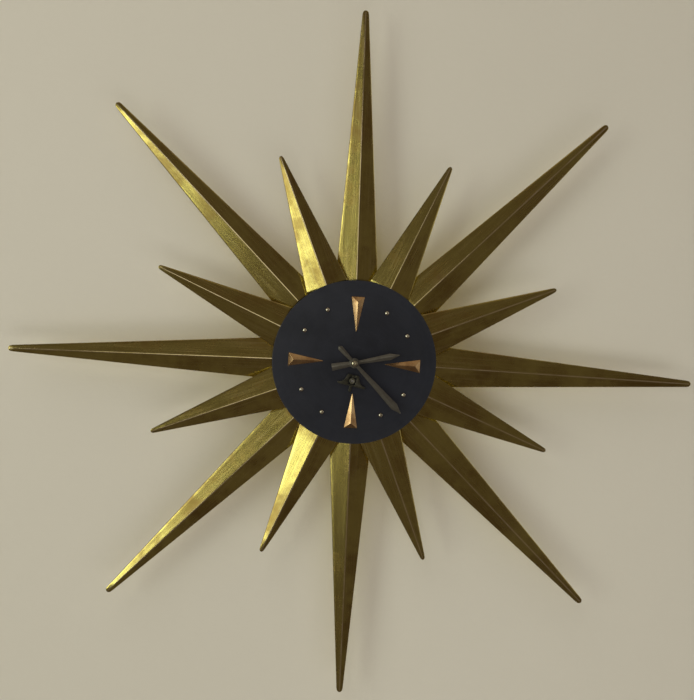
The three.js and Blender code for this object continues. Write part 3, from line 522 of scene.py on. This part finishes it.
def stage_material(name, base, dark, one_way):
    mat, nt, n, l = tree(name)
    out = n.new("ShaderNodeOutputMaterial"); p = n.new("ShaderNodeBsdfPrincipled")
    p.inputs["Roughness"].default_value = 0.75
    tc = n.new("ShaderNodeTexCoord")
    t = n.new("ShaderNodeTexNoise"); t.inputs["Scale"].default_value = 2.2; t.inputs["Detail"].default_value = 5
    f = n.new("ShaderNodeTexNoise"); f.inputs["Scale"].default_value = 160.0; f.inputs["Detail"].default_value = 4
    q = n.new("ShaderNodeMix"); q.data_type = "RGBA"
    q.inputs[6].default_value = (*base, 1); q.inputs[7].default_value = (*dark, 1)
    b = n.new("ShaderNodeBump"); b.inputs["Strength"].default_value = 0.12; b.inputs["Distance"].default_value = 0.002
    l.new(tc.outputs["Object"], t.inputs["Vector"]); l.new(tc.outputs["Object"], f.inputs["Vector"])
    l.new(t.outputs["Fac"], q.inputs["Factor"]); l.new(q.outputs[2], p.inputs["Base Color"])
    l.new(f.outputs["Fac"], b.inputs["Height"]); l.new(b.outputs[0], p.inputs["Normal"])
    if one_way:
        geo, tr, ms = n.new("ShaderNodeNewGeometry"), n.new("ShaderNodeBsdfTransparent"), n.new("ShaderNodeMixShader")
        l.new(geo.outputs["Backfacing"], ms.inputs[0]); l.new(p.outputs[0], ms.inputs[1]); l.new(tr.outputs[0], ms.inputs[2])
        l.new(ms.outputs[0], out.inputs[0])
    else:
        l.new(p.outputs[0], out.inputs[0])
    return mat


def plane(name, corners, mat):
    me = bpy.data.meshes.new(name)
    me.from_pydata(corners, [], [(0, 1, 2, 3)])
    me.materials.append(mat)
    o = bpy.data.objects.new(name, me)
    bpy.context.scene.collection.objects.link(o)
    return o


wall = plane("wall", [(-3, 0.0006, -1.1), (3, 0.0006, -1.1), (3, 0.0006, 2.4), (-3, 0.0006, 2.4)],
             stage_material("wall_paint", (0.74, 0.71, 0.62), (0.68, 0.65, 0.56), True))
wall.visible_shadow = False
floor = plane("floor", [(-3, -4, -1.1), (3, -4, -1.1), (3, 1.6, -1.1), (-3, 1.6, -1.1)],
              stage_material("floor_pale", (0.70, 0.68, 0.62), (0.64, 0.62, 0.56), False))


def light(name, at, target, size, power, colour=(1, 1, 1)):
    d = bpy.data.lights.new(name, "AREA")
    d.shape, d.size, d.size_y, d.energy, d.color = "RECTANGLE", size[0], size[1], power, colour
    o = bpy.data.objects.new(name, d)
    bpy.context.scene.collection.objects.link(o)
    o.location = at
    o.rotation_mode = "QUATERNION"
    o.rotation_quaternion = (Vector(target) - Vector(at)).to_track_quat("-Z", "Y")
    return o


# the two wash lights are for the wall: they stay out of the metal's reflections, as flags do in a studio
for wash in (light("wash_high", (-1.0, -1.5, 2.0), (0, 0, 0.0), (1.9, 1.9), 18, (1.0, 0.985, 0.95)),
             light("wash_low", (0.5, -1.5, -0.85), (0.1, 0, -0.2), (1.8, 0.7), 6, (1.0, 0.98, 0.95))):
    wash.visible_glossy = False
light("window", (-2.85, -2.80, 0.0), (0, 0, 0), (1.12, 2.5), 31, (0.95, 1.0, 0.86))
light("window_edge", (-2.97, -1.86, 0.0), (0, 0, 0), (0.55, 1.6), 6, (1.0, 0.98, 0.84))
light("front", (-0.27, -1.30, 0.17), (-0.27, 0, 0.17), (0.72, 0.66), 0.95, (1.0, 0.95, 0.84))
light("ceiling", (0.0, -0.75, 1.35), (0, 0, 0), (1.6, 0.7), 1.2, (1.0, 0.82, 0.62))
light("side", (1.7, -0.55, 0.3), (0, 0, 0), (1.0, 1.2), 1.8, (1.0, 0.95, 0.88))
light("rear", (0.3, 1.5, 0.5), (0, 0, 0), (2.4, 2.4), 40, (1.0, 1.0, 1.0))
floor.visible_glossy = False

world = bpy.data.worlds.new("room")
bpy.context.scene.world = world
world.use_nodes = True
bg = world.node_tree.nodes["Background"]
bg.inputs[0].default_value = (0.120, 0.095, 0.080, 1)
bg.inputs[1].default_value = 1.0
